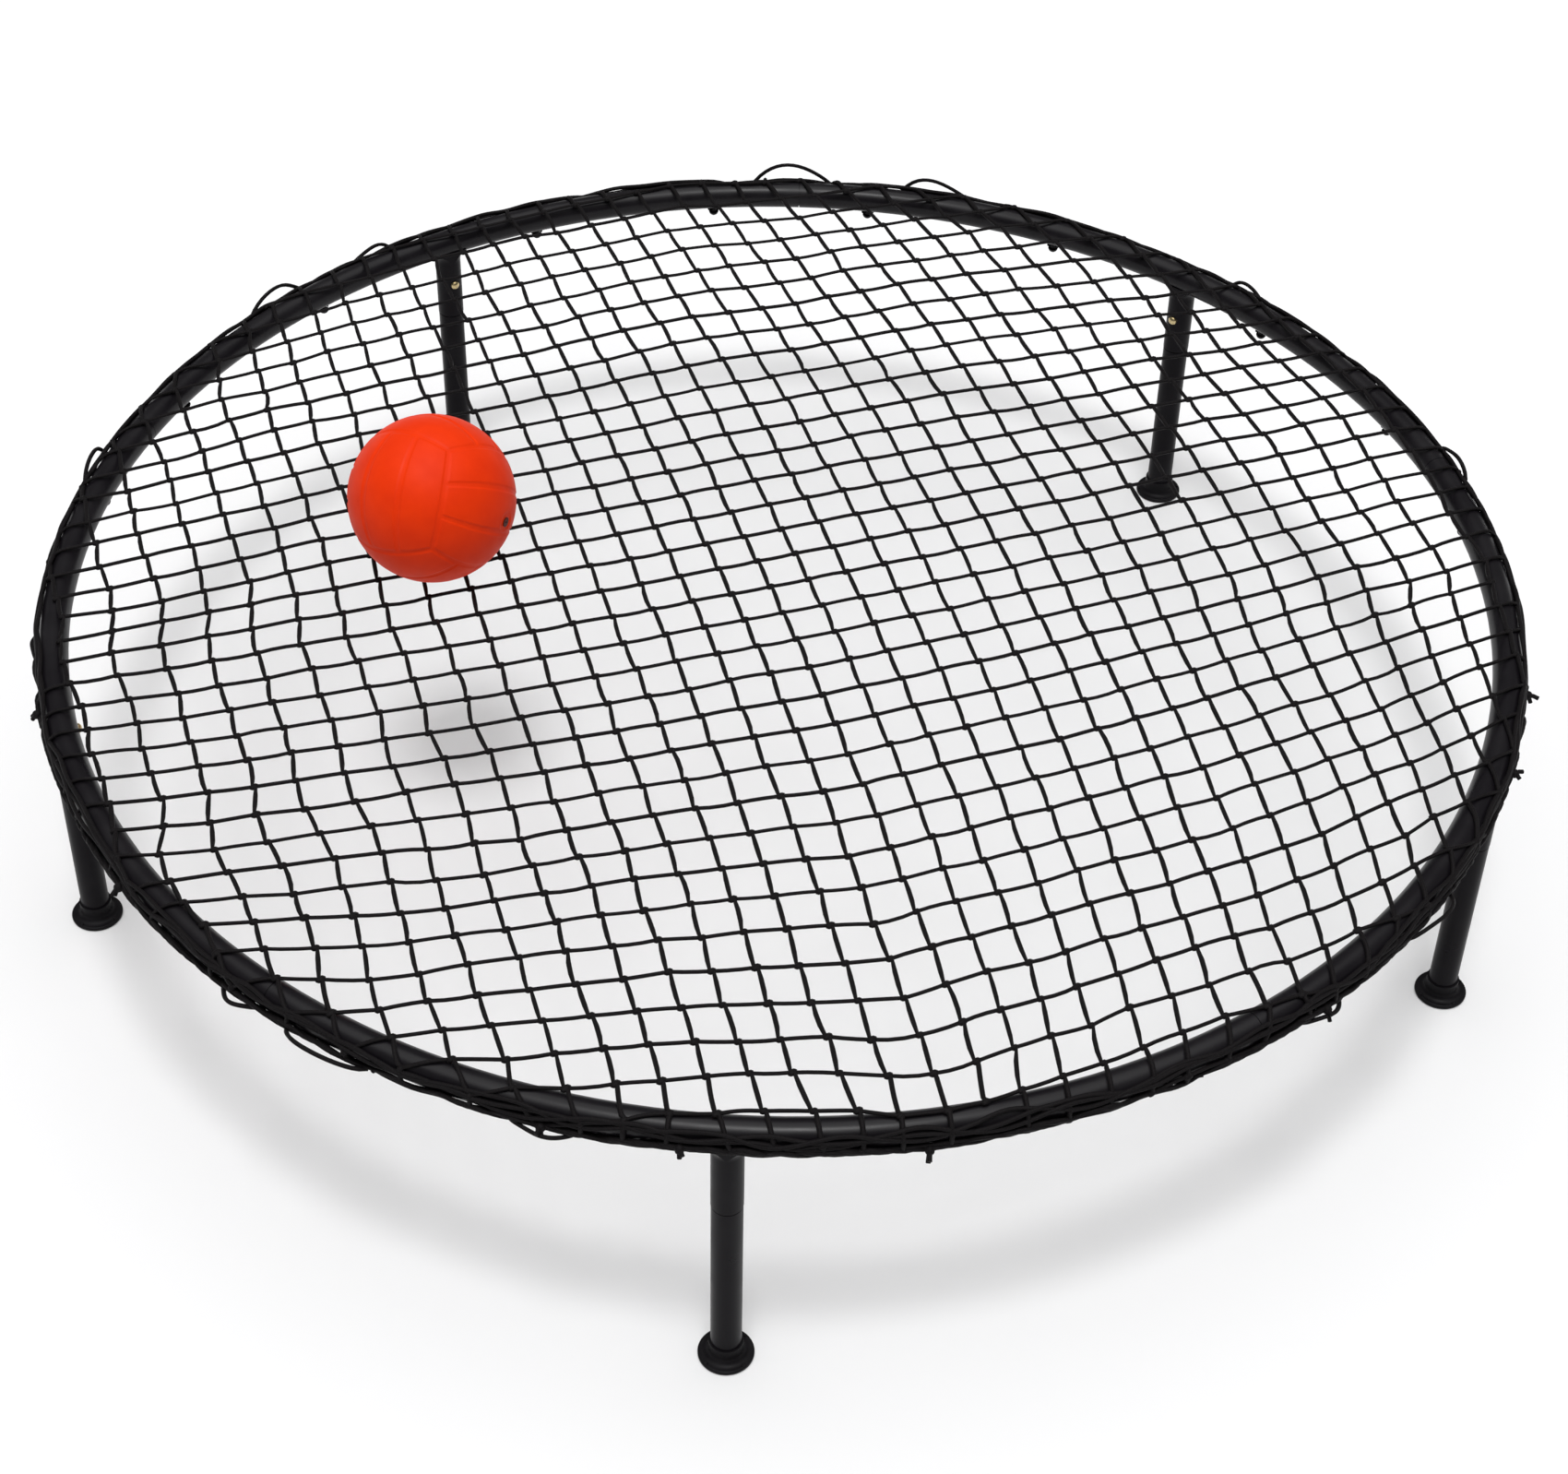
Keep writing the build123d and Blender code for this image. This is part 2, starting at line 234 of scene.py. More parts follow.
@dataclass(frozen=True)
class BareMetal:
    """Bare metal: brass of the snap buttons, or dark spring steel, with fine turning marks."""

    name: str
    colour: tuple[float, float, float]
    tarnish: tuple[float, float, float]
    matt: float = 0.26

    def make(self) -> bpy.types.Material:
        """Builds the finish."""
        shader = Shader(self.name, self.colour, self.matt)
        shader.set(Metallic=1.0)
        stain = shader.grain(2.2 * MILLIMETRE, 4.0)
        shader.tint(shader.stretch(stain, 0.0, 1.0, 0.45, 0.75), self.colour, self.tarnish)
        shader.roughen(shader.stretch(stain, self.matt, self.matt + 0.14))
        shader.bump(shader.grain(0.25 * MILLIMETRE), 0.006 * MILLIMETRE)
        return shader.material


@dataclass(frozen=True)
class BraidedCord:
    """Black polyester braid: fine over-and-under strands with a little fluff and sheen, with painted
    shade in the hollows between strands and painted light on the strand tops.
    """

    name: str
    colour: tuple[float, float, float] = (0.0042, 0.0034, 0.0038)
    # painted light: the lighter colour laid on the raised strand tops
    painted_strand_top_light: tuple[float, float, float] = (0.0100, 0.0086, 0.0094)
    strand: float = 0.55 * MILLIMETRE
    strand_depth: float = 0.12 * MILLIMETRE

    def make(self) -> bpy.types.Material:
        """Builds the finish."""
        shader = Shader(self.name, self.colour, 0.62)
        shader.set(Sheen_Weight=0.015, Sheen_Roughness=0.4, Specular_IOR_Level=0.1)
        cells = shader.tree.nodes.new("ShaderNodeTexVoronoi")
        cells.inputs["Scale"].default_value = 1.0 / self.strand
        shader.tree.links.new(shader.places.outputs["Object"], cells.inputs["Vector"])
        fluff = shader.grain(0.3 * MILLIMETRE, 3.0)
        # Painted shade and light: darker in the hollows between strands, lighter on the strand tops, in
        # step with the bump below.
        shader.tint(shader.stretch(cells.outputs["Distance"], 1.0, 0.0, 0.1, 0.7), self.colour, self.painted_strand_top_light)
        shader.roughen(shader.stretch(fluff, 0.55, 0.75))
        shader.bump(shader.stretch(cells.outputs["Distance"], 1.0, 0.0, 0.0, 0.9), self.strand_depth)
        shader.bump(fluff, 0.04 * MILLIMETRE)
        return shader.material


@dataclass(frozen=True)
class BallSkin:
    """Bright red-orange inflated rubber: satin, with a fine pebble and a slightly uneven tone."""

    name: str
    colour: tuple[float, float, float] = (0.790, 0.0370, 0.0018)
    deep: tuple[float, float, float] = (0.730, 0.0310, 0.0016)
    pebble_size: float = 0.8 * MILLIMETRE
    pebble_depth: float = 0.03 * MILLIMETRE

    def make(self) -> bpy.types.Material:
        """Builds the finish."""
        shader = Shader(self.name, self.colour, 0.44)
        shader.set(Specular_IOR_Level=0.09)
        tone = shader.grain(16 * MILLIMETRE, 3.0)
        shader.tint(shader.stretch(tone, 0.0, 1.0), self.colour, self.deep)
        shader.roughen(shader.stretch(tone, 0.46, 0.56))
        shader.bump(shader.grain(self.pebble_size, 2.0), self.pebble_depth)
        return shader.material


@dataclass(frozen=True)
class PaleFloor:
    """Plain pale studio floor."""

    name: str = "pale_floor"
    colour: tuple[float, float, float] = (0.86, 0.86, 0.865)

    def make(self) -> bpy.types.Material:
        """Builds the finish."""
        shader = Shader(self.name, self.colour, 0.9)
        shader.set(Specular_IOR_Level=0.1)
        return shader.material


# ------------------------------------------------------------------------ mesh helpers


def show(name: str, mesh: bpy.types.Mesh, body: Body,
         finish: bpy.types.Material) -> bpy.types.Object:
    """Puts a finished mesh in the scene as a piece.

    Args:
        name: The piece's name.
        mesh: The mesh, already in place.
        body: The CAD body that it rides on.
        finish: Its material.

    Returns:
        The piece.
    """
    mesh.materials.clear()
    mesh.materials.append(finish)
    mesh.shade_smooth()
    piece = bpy.data.objects.new(name, mesh)
    bpy.context.scene.collection.objects.link(piece)
    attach(piece, body.value)
    log.info("%s: %d faces on %s", name, len(mesh.polygons), body.value)
    return piece


def cord_mesh(name: str, lines: Iterable[Line], radius: float, closed: bool = False) -> bpy.types.Mesh:
    """Makes round cords along lines of points.

    Args:
        name: The mesh's name.
        lines: One list of points for each cord.
        radius: Half the cord's thickness.
        closed: Join each cord's end to its start.

    Returns:
        One mesh with all the cords.
    """
    curve = bpy.data.curves.new(name, "CURVE")
    curve.dimensions = "3D"
    curve.bevel_depth = radius
    curve.bevel_resolution = 1
    curve.use_fill_caps = not closed
    for line in lines:
        spline = curve.splines.new("POLY")
        spline.points.add(len(line) - 1)
        for point, place in zip(spline.points, line):
            point.co = (*place, 1.0)
        spline.use_cyclic_u = closed
    holder = bpy.data.objects.new(name, curve)
    mesh = bpy.data.meshes.new_from_object(holder)
    bpy.data.objects.remove(holder)
    bpy.data.curves.remove(curve)
    return mesh


def blobs_mesh(name: str, places: Iterable[Matrix]) -> bpy.types.Mesh:
    """Makes a small round knot at each place, sized and turned by its matrix."""
    ball = bmesh.new()
    bmesh.ops.create_uvsphere(ball, u_segments=8, v_segments=6, radius=1.0)
    pattern = bpy.data.meshes.new(f"{name}_pattern")
    ball.to_mesh(pattern)
    ball.free()
    work = bmesh.new()
    for place in places:
        knot = pattern.copy()
        knot.transform(place)
        work.from_mesh(knot)
        bpy.data.meshes.remove(knot)
    mesh = bpy.data.meshes.new(name)
    work.to_mesh(mesh)
    work.free()
    return mesh


# --------------------------------------------------------------------------------- rim


@dataclass(frozen=True)
class Rim:
    """The tube ring that the net is stretched over, as the frame gives it."""

    radius: float
    tube_radius: float
    height: float

    @classmethod
    def from_frame(cls) -> "Rim":
        """Reads the ring's size from its five segments."""
        boxes = [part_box(f"ring_segment_{station}") for station in STATIONS]
        bottom = min(low.z for low, _ in boxes)
        top = max(high.z for _, high in boxes)
        outside = max(high.x for _, high in boxes)
        tube = (top - bottom) / 2
        return cls(outside - tube, tube, (top + bottom) / 2)

    def at(self, azimuth: float, arc: float, lift: float) -> Vector:
        """A point on or over the tube.

        Args:
            azimuth: Direction from the centre, in radians.
            arc: Distance along the net past the tube's crown, negative towards the centre.
            lift: Height above the net's rest surface.

        Returns:
            The point in the row frame.
        """
        reach = self.tube_radius + lift
        if arc <= 0:
            out, height = self.radius + arc, self.height + reach
        else:
            angle = math.pi / 2 - arc / reach
            out = self.radius + reach * math.cos(angle)
            height = self.height + reach * math.sin(angle)
        return Vector((out * math.cos(azimuth), out * math.sin(azimuth), height))

    def fold(self, flat: Vector, lift: float) -> Vector:
        """A point of the flat net, laid on the open middle or over the tube."""
        return self.at(math.atan2(flat.y, flat.x), flat.length - self.radius, lift)

    def normal(self, flat: Vector) -> Vector:
        """The direction out of the net at a point of the flat net."""
        return (self.fold(flat, 2 * MILLIMETRE) - self.fold(flat, 1 * MILLIMETRE)).normalized()

    def pegs(self) -> list[float]:
        """Azimuths of the pegs under the tube, in radians."""
        legs = [FRONT_AZIMUTH + STATION_STEP * n for n in range(len(STATIONS))]
        return [math.radians(leg + offset) for leg in legs for offset in PEG_OFFSETS]

    def along(self, first: float, second: float) -> float:
        """Distance round the rim from the second azimuth to the first, the shorter way."""
        turn = (first - second + math.pi) % (2 * math.pi) - math.pi
        return turn * self.radius


# --------------------------------------------------------------------------------- net


@dataclass(frozen=True)
class Pull:
    """A place where the hooks draw the net's edge out, or let it hang slack where size is negative.

    Azimuth and width are in degrees round the rim, size is in millimetres.
    """

    azimuth: float
    size: float
    width: float

    def share(self, azimuth: float) -> float:
        """Its shift in metres at an azimuth in radians."""
        turn = math.remainder(azimuth - math.radians(self.azimuth), 2 * math.pi)
        away = turn / math.radians(self.width)
        return self.size * MILLIMETRE * math.exp(-away * away / 2)


@dataclass(frozen=True)
class Stretch:
    """How the net gives as it is hooked to the rim: each value is the shift out at the rim."""

    row_bow: float = 26.5 * MILLIMETRE
    row_shear: float = 9.3 * MILLIMETRE
    column_pinch: float = 37.6 * MILLIMETRE
    row_ends: float = 21.3 * MILLIMETRE
    row_slack: float = 3.0 * MILLIMETRE
    column_slack: float = 10.0 * MILLIMETRE
    twist: float = 14.0 * MILLIMETRE
    column_bow: float = 9.1 * MILLIMETRE
    row_pinch: float = 78.0 * MILLIMETRE
    column_shear: float = 7.0 * MILLIMETRE
    wander: float = 6.0 * MILLIMETRE
    pulls: tuple[Pull, ...] = (
        Pull(-163.0, 9.0, 3.0), Pull(-148.0, 6.0, 9.0), Pull(-138.0, 11.0, 3.0), Pull(-118.0, 6.0, 3.0),
        Pull(-100.0, -7.0, 9.0), Pull(-76.5, 9.0, 3.0), Pull(-72.0, 10.0, 9.0), Pull(-10.0, -11.0, 9.0),
        Pull(6.0, 5.0, 3.0), Pull(24.0, 4.0, 9.0), Pull(45.0, -6.0, 9.0), Pull(68.0, 9.0, 9.0),
        Pull(103.0, 5.0, 3.0), Pull(112.0, 11.0, 9.0), Pull(160.0, 7.0, 3.0))

    def slip(self, x: float, y: float) -> Vector:
        """How far a knot moves along and across its row.

        Args:
            x: Its place along the row, as a share of the rim's radius.
            y: Its place across the rows, likewise.

        Returns:
            The shift along the row, and across it.
        """
        along = -self.row_bow * y * y - self.row_shear * y - self.column_pinch * x * y * y
        along += self.row_ends * x ** 3 - self.row_slack * x
        across = self.column_slack * y + self.twist * x * y + self.column_bow * x * x
        across += self.column_shear * x - self.row_pinch * x * x * y
        return Vector((along, across))

    def pull(self, azimuth: float) -> float:
        """How far out the hooks draw the edge at an azimuth, in metres."""
        return sum(pull.share(azimuth) for pull in self.pulls)


@dataclass
class Net:
    """Square knotted mesh, stretched over the rim and drawn to the pegs."""

    rim: Rim
    finish: bpy.types.Material
    stretch: Stretch = Stretch()
    row_radius: float = 1.15 * MILLIMETRE
    column_radius: float = 1.45 * MILLIMETRE
    row_pitch: float = 25.6 * MILLIMETRE
    column_pitch: float = 25.2 * MILLIMETRE
    turn: float = math.radians(21.0)
    anchor: tuple[float, float] = (7.0 * MILLIMETRE, 16.5 * MILLIMETRE)
    margin: float = 24.0 * MILLIMETRE
    jitter: float = 0.3 * MILLIMETRE
    edge_jitter: float = 0.9 * MILLIMETRE
    knot_jog: float = 0.9 * MILLIMETRE
    bow: float = 0.45 * MILLIMETRE
    cord_step: float = 3.5 * MILLIMETRE
    wrap_start: float = 3.0 * MILLIMETRE
    hem_drop: float = 22.0 * MILLIMETRE
    hem_wander: float = 2.0 * MILLIMETRE
    hem_step: float = 3.0 * MILLIMETRE
    peg_draw: float = 4.0 * MILLIMETRE
    peg_draw_width: float = 15.0 * MILLIMETRE
    knot_size: tuple[float, float, float] = (3.0 * MILLIMETRE, 2.1 * MILLIMETRE, 1.7 * MILLIMETRE)
    knot_slant: float = 0.35
    knot_uneven: float = 0.15
    ball_dent: float = 1.1 * MILLIMETRE
    dent_width: float = 45.0 * MILLIMETRE
    seed: int = 11
    knots: dict[tuple[int, int], Vector] = field(default_factory=dict)
    ball_place: Vector = field(init=False)

    def __post_init__(self) -> None:
        """Finds where the ball lies."""
        low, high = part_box("ball_shell")
        self.ball_place = ((low + high) / 2).to_2d()

    @property
    def lift(self) -> float:
        """Height of a cord's middle over the tube."""
        return self.column_radius + 0.05 * MILLIMETRE

    @property
    def rows_way(self) -> Vector:
        """Direction that the rows run in."""
        return Vector((math.cos(self.turn), math.sin(self.turn)))

    def settle(self) -> None:
        """Places every knot of the net, by column and row number, stretched over the rim."""
        along = self.rows_way
        across = Vector((-along.y, along.x))
        reach = self.rim.radius + self.margin
        count = int(reach / self.column_pitch) + 4
        draw = random.Random(self.seed)
        noise.seed_set(self.seed)
        for i in range(-count, count + 1):
            for j in range(-count, count + 1):
                x, y = i * self.column_pitch, j * self.row_pitch
                slip = self.stretch.slip(x / self.rim.radius, y / self.rim.radius)
                flat = Vector(self.anchor) + along * (x + slip.x) + across * (y + slip.y)
                share = flat.length / self.rim.radius
                flat += self.stretch.pull(math.atan2(flat.y, flat.x)) * flat.normalized() * share * share
                stray = noise.noise_vector(flat.to_3d() * 9.0).to_2d() * self.stretch.wander
                flat += stray * share * share
                spread = self.jitter + (self.edge_jitter - self.jitter) * share * share
                wobble = Vector((draw.gauss(0, spread), draw.gauss(0, spread)))
                if flat.length < reach:
                    self.knots[i, j] = flat + wobble

    def dent(self, flat: Vector) -> float:
        """How far the ball's weight presses the net down at a point."""
        away = (flat - self.ball_place).length / self.dent_width
        return self.ball_dent * math.exp(-away * away)

    def span(self, start: Vector, end: Vector, draw: random.Random) -> Line:
        """Points of one cord between two knots, the start left out.

        Args:
            start: First knot on the flat net.
            end: Second knot on the flat net.
            draw: Source of the cord's small bow.

        Returns:
            Points on the net, folded over the tube where the cord crosses it.
        """
        over = max(start.length, end.length) > self.rim.radius - self.wrap_start
        steps = max(3, math.ceil((end - start).length / self.cord_step)) if over else 3
        side = Vector((start.y - end.y, end.x - start.x)).normalized()
        bow = draw.gauss(0, self.bow)
        sag = abs(draw.gauss(0, self.bow)) * 0.5
        points = []
        for n in range(1, steps + 1):
            share = n / steps
            bend = math.sin(math.pi * share)
            flat = start.lerp(end, share) + side * bow * bend
            points.append(self.rim.fold(flat, self.lift - (0 if over else sag * bend + self.dent(flat))))
        return points

    def hem_arc(self, azimuth: float) -> float:
        """Distance past the crown at which the gathered edge lies, longer near each peg."""
        spot = Vector((math.cos(azimuth) * 5, math.sin(azimuth) * 5, 1.7))
        low = self.hem_drop + self.hem_wander * noise.noise(spot)
        for peg in self.rim.pegs():
            away = self.rim.along(azimuth, peg) / self.peg_draw_width
            low += self.peg_draw * math.exp(-away * away / 2)
        return low

    def run(self, keys: list[tuple[int, int]], jog: Vector, draw: random.Random) -> Line:
        """One whole cord through a list of knots, ended in the gathered edge.

        Args:
            keys: Column and row numbers of the knots, in order.
            jog: Half the step that the cord takes along each knot.
            draw: Source of small bows.

        Returns:
            The cord's points.
        """
        flats = [self.knots[key] for key in keys]
        points: Line = [self.rim.fold(flats[0] - jog, self.lift)]
        for start, end in zip(flats, flats[1:]):
            points += self.span(start + jog, end - jog, draw)
            if jog.length > 0:
                points.append(self.rim.fold(end + jog, self.lift - self.dent(end)))
        return self.hem_end(flats[0])[::-1] + points + self.hem_end(flats[-1])

    def hem_end(self, flat: Vector) -> Line:
        """Points from an outermost knot down to the gathered edge."""
        azimuth = math.atan2(flat.y, flat.x)
        start = flat.length - self.rim.radius
        end = self.hem_arc(azimuth)
        if start < 0 or end - start < self.hem_step:
            return []
        steps = math.ceil((end - start) / self.hem_step)
        return [self.rim.at(azimuth, start + (end - start) * n / steps, self.lift + 0.4 * MILLIMETRE)
                for n in range(1, steps + 1)]

    def chains(self, by_row: bool) -> list[list[tuple[int, int]]]:
        """Knots in cord order: every row, or every column, with at least three knots."""
        fixed, moving = (1, 0) if by_row else (0, 1)
        lines: dict[int, list[tuple[int, int]]] = {}
        for key in sorted(self.knots, key=lambda k: (k[fixed], k[moving])):
            lines.setdefault(key[fixed], []).append(key)
        return [line for line in lines.values() if len(line) > 2]

    def knot_places(self) -> list[Matrix]:
        """Place, turn and size of every knot."""
        draw = random.Random(self.seed + 2)
        places = []
        for key in sorted(self.knots):
            flat = self.knots[key]
            normal = self.rim.normal(flat)
            slant = self.turn + self.knot_slant
            along = Vector((math.cos(slant), math.sin(slant), 0.0))
            along = (along - normal * along.dot(normal)).normalized()
            across = normal.cross(along)
            fat = draw.uniform(1 - self.knot_uneven, 1 + self.knot_uneven)
            long, wide, high = self.knot_size
            size = Matrix.Diagonal((long * fat, wide * fat, high, 1.0))
            turn = Matrix((along, across, normal)).transposed().to_4x4()
            middle = self.rim.fold(flat, self.lift - self.dent(flat))
            places.append(Matrix.Translation(middle) @ turn @ size)
        return places

    def build(self) -> None:
        """Makes the rows, the columns and the knots."""
        self.settle()
        draw = random.Random(self.seed + 1)
        straight = Vector((0.0, 0.0))
        jog = self.rows_way * -self.knot_jog
        rows = [self.run(chain, straight, draw) for chain in self.chains(by_row=True)]
        columns = [self.run(chain, jog, draw) for chain in self.chains(by_row=False)]
        meshes = {
            "net_rows": cord_mesh("net_rows", rows, self.row_radius),
            "net_columns": cord_mesh("net_columns", columns, self.column_radius),
            "net_knots": blobs_mesh("net_knots", self.knot_places()),
        }
        for name, mesh in meshes.items():
            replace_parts(show(name, mesh, Body.FRAME, self.finish), "net")


@dataclass(frozen=True)
class SlackLoop:
    """A loose loop of the margin: azimuth of its middle in degrees, its length and rise in mm."""

    azimuth: float
    length: float
    rise: float

    @property
    def hang(self) -> float:
        """1 for a loop that hangs under the rim, -1 for one that stands up from it."""
        return 1.0 if self.azimuth < 0 else -1.0


@dataclass
class Margin:
    """The net's gathered edge: bunched cords outside the tube, peg loops and loose ends."""

    net: Net
    finish: bpy.types.Material
    strands: int = 5
    points_round: int = 620
    cord_radius: float = 1.35 * MILLIMETRE
    strand_turns: int = 61
    more_turns: int = 7
    strand_swing: float = 1.7 * MILLIMETRE
    strand_spread: float = 2.2 * MILLIMETRE
    strand_wander: float = 2.2 * MILLIMETRE
    strand_lift: float = 2.0 * MILLIMETRE
    strand_lift_swing: float = 0.9 * MILLIMETRE
    gathers: int = 3
    gather_arc: float = 12.0 * MILLIMETRE
    gather_wander: float = 8.0 * MILLIMETRE
    gather_lift: float = 1.9 * MILLIMETRE
    gather_lift_wander: float = 1.2 * MILLIMETRE
    neck_gap: float = 1.6 * MILLIMETRE
    neck_reach: float = 3.2 * MILLIMETRE
    neck_turn: float = 1.9
    neck_points: int = 11
    neck_sink: float = 1.2 * MILLIMETRE
    peg_side: float = 11.0 * MILLIMETRE
    peg_lift: float = 2.2 * MILLIMETRE
    loop_points: int = 17
    loop_lift: float = 2.4 * MILLIMETRE
    loop_rise_share: float = 0.75
    tie_lift: float = 3.6 * MILLIMETRE
    tie_size: tuple[float, float, float] = (3.3 * MILLIMETRE, 2.9 * MILLIMETRE, 3.0 * MILLIMETRE)
    end_length: tuple[float, float] = (3.5, 7.0)
    end_droop: float = 1.5 * MILLIMETRE
    loops: tuple[SlackLoop, ...] = (
        SlackLoop(92.6, 62.0, 11.0), SlackLoop(79.3, 58.0, 9.0), SlackLoop(143.0, 60.0, 8.0),
        SlackLoop(133.0, 40.0, 6.0), SlackLoop(-34.0, 46.0, 9.0), SlackLoop(-46.5, 30.0, 6.0),
        SlackLoop(-118.5, 52.0, 11.0), SlackLoop(-126.5, 26.0, 6.0), SlackLoop(-102.2, 34.0, 6.0),
        SlackLoop(-168.7, 32.0, 6.0), SlackLoop(20.0, 40.0, 6.0), SlackLoop(48.0, 36.0, 5.0),
        SlackLoop(170.0, 38.0, 6.0))
    tie_places: tuple[float, ...] = (
        88.4, -8.3, -17.4, -76.8, -102.2, -46.5, -93.0, 36.0, 60.0, 118.0, 152.0, -140.0, -160.0)

    @property
    def rim(self) -> Rim:
        """The rim under the net."""
        return self.net.rim

    def strand(self, number: int) -> Line:
        """One closed cord of the gathered edge, winding round its neighbours."""
        phase = number * 2 * math.pi / self.strands
        turns = self.strand_turns + self.more_turns * number
        line = []
        for step in range(self.points_round):
            azimuth = 2 * math.pi * step / self.points_round
            spot = Vector((math.cos(azimuth), math.sin(azimuth), number * 0.37))
            wander = noise.noise(spot * 9.0) * self.strand_wander
            arc = self.net.hem_arc(azimuth) - self.strand_spread * number / self.strands
            arc += self.strand_swing * math.sin(turns * azimuth + phase) + wander
            lift = self.strand_lift + self.strand_lift_swing * math.cos(turns * azimuth + phase)
            line.append(self.rim.at(azimuth, arc, lift))
        return line

    def gather(self, number: int) -> Line:
        """One closed, slack cord that wanders between the crown and the gathered edge."""
        line = []
        for step in range(self.points_round):
            azimuth = 2 * math.pi * step / self.points_round
            spot = Vector((math.cos(azimuth), math.sin(azimuth), 4.0 + number * 0.61))
            arc = self.gather_arc + noise.noise(spot * 11.0) * self.gather_wander
            lift = self.gather_lift + noise.noise(spot * 17.0) * self.gather_lift_wander
            line.append(self.rim.at(azimuth, arc, max(lift, self.net.lift)))
        return line

    def peg_loop(self, azimuth: float) -> Line:
        """One turn of cord round a peg's neck, drawn out to the gathered edge on both sides."""
        centre = self.rim.at(azimuth, 0.0, 0.0)
        centre.z = self.rim.height - self.rim.tube_radius - self.neck_gap
        side = self.peg_side / self.rim.radius
        first = self.rim.at(azimuth - side, self.net.hem_arc(azimuth - side), self.peg_lift)
        last = self.rim.at(azimuth + side, self.net.hem_arc(azimuth + side), self.peg_lift)
        sink = Vector((0, 0, self.neck_sink))
        line = [first, first.lerp(centre, 0.45) - sink]
        sweep = 2 * math.pi - self.neck_turn * 1.1
        for step in range(self.neck_points):
            turn = azimuth - self.neck_turn + step * sweep / (self.neck_points - 1)
            line.append(centre + Vector((math.cos(turn), math.sin(turn), 0.0)) * self.neck_reach)
        line += [last.lerp(centre, 0.45) - sink, last]
        return line

    def slack_loop(self, loop: SlackLoop) -> Line:
        """A slack loop that stands off the gathered edge, or hangs under it."""
        line = []
        for step in range(self.loop_points):
            share = step / (self.loop_points - 1)
            along = (share - 0.5) * loop.length * MILLIMETRE
            azimuth = math.radians(loop.azimuth) + along / self.rim.radius
            swell = math.sin(math.pi * share) ** 0.8 * (1 + 0.25 * math.sin(5 * share + loop.azimuth))
            arc = self.net.hem_arc(azimuth) + (2 + swell * 6) * loop.hang * MILLIMETRE
            lift = self.loop_lift + swell * loop.rise * self.loop_rise_share * MILLIMETRE
            line.append(self.rim.at(azimuth, arc, lift))
        return line

    def ties(self) -> tuple[list[Line], list[Matrix]]:
        """Knots tied in the gathered edge, and the cut ends that stick out of them."""
        draw = random.Random(self.net.seed + 5)
        size = Matrix.Diagonal((*self.tie_size, 1.0))
        droop = Vector((0, 0, -self.end_droop))
        ends, knots = [], []
        for place in self.tie_places:
            azimuth = math.radians(place)
            middle = self.rim.at(azimuth, self.net.hem_arc(azimuth), self.tie_lift)
            knots.append(Matrix.Translation(middle) @ Matrix.Rotation(azimuth, 4, "Z") @ size)
            for _ in range(2):
                lean = Vector((draw.uniform(-0.6, 0.6), draw.uniform(-0.6, 0.6), draw.uniform(-0.9, 0.5)))
                way = (Vector((math.cos(azimuth), math.sin(azimuth), 0.0)) + lean).normalized()
                length = draw.uniform(*self.end_length) * MILLIMETRE
                ends.append([middle, middle + way * length * 0.5, middle + way * length + droop])
        return ends, knots

    def build(self) -> None:
        """Makes the gathered edge, the peg loops and the loose ends."""
        hem = [self.strand(n) for n in range(self.strands)]
        hem += [self.gather(n) for n in range(self.gathers)]
        loops = [self.peg_loop(peg) for peg in self.rim.pegs()]
        loops += [self.slack_loop(loop) for loop in self.loops]
        ends, knots = self.ties()
        meshes = {
            "margin_hem": cord_mesh("margin_hem", hem, self.cord_radius, closed=True),
            "margin_loops": cord_mesh("margin_loops", loops, self.cord_radius),
            "margin_ends": cord_mesh("margin_ends", ends, self.cord_radius),
            "margin_knots": blobs_mesh("margin_knots", knots),
        }
        for name, mesh in meshes.items():
            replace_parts(show(name, mesh, Body.FRAME, self.finish), "net_margin")


# -------------------------------------------------------------------------------- ball


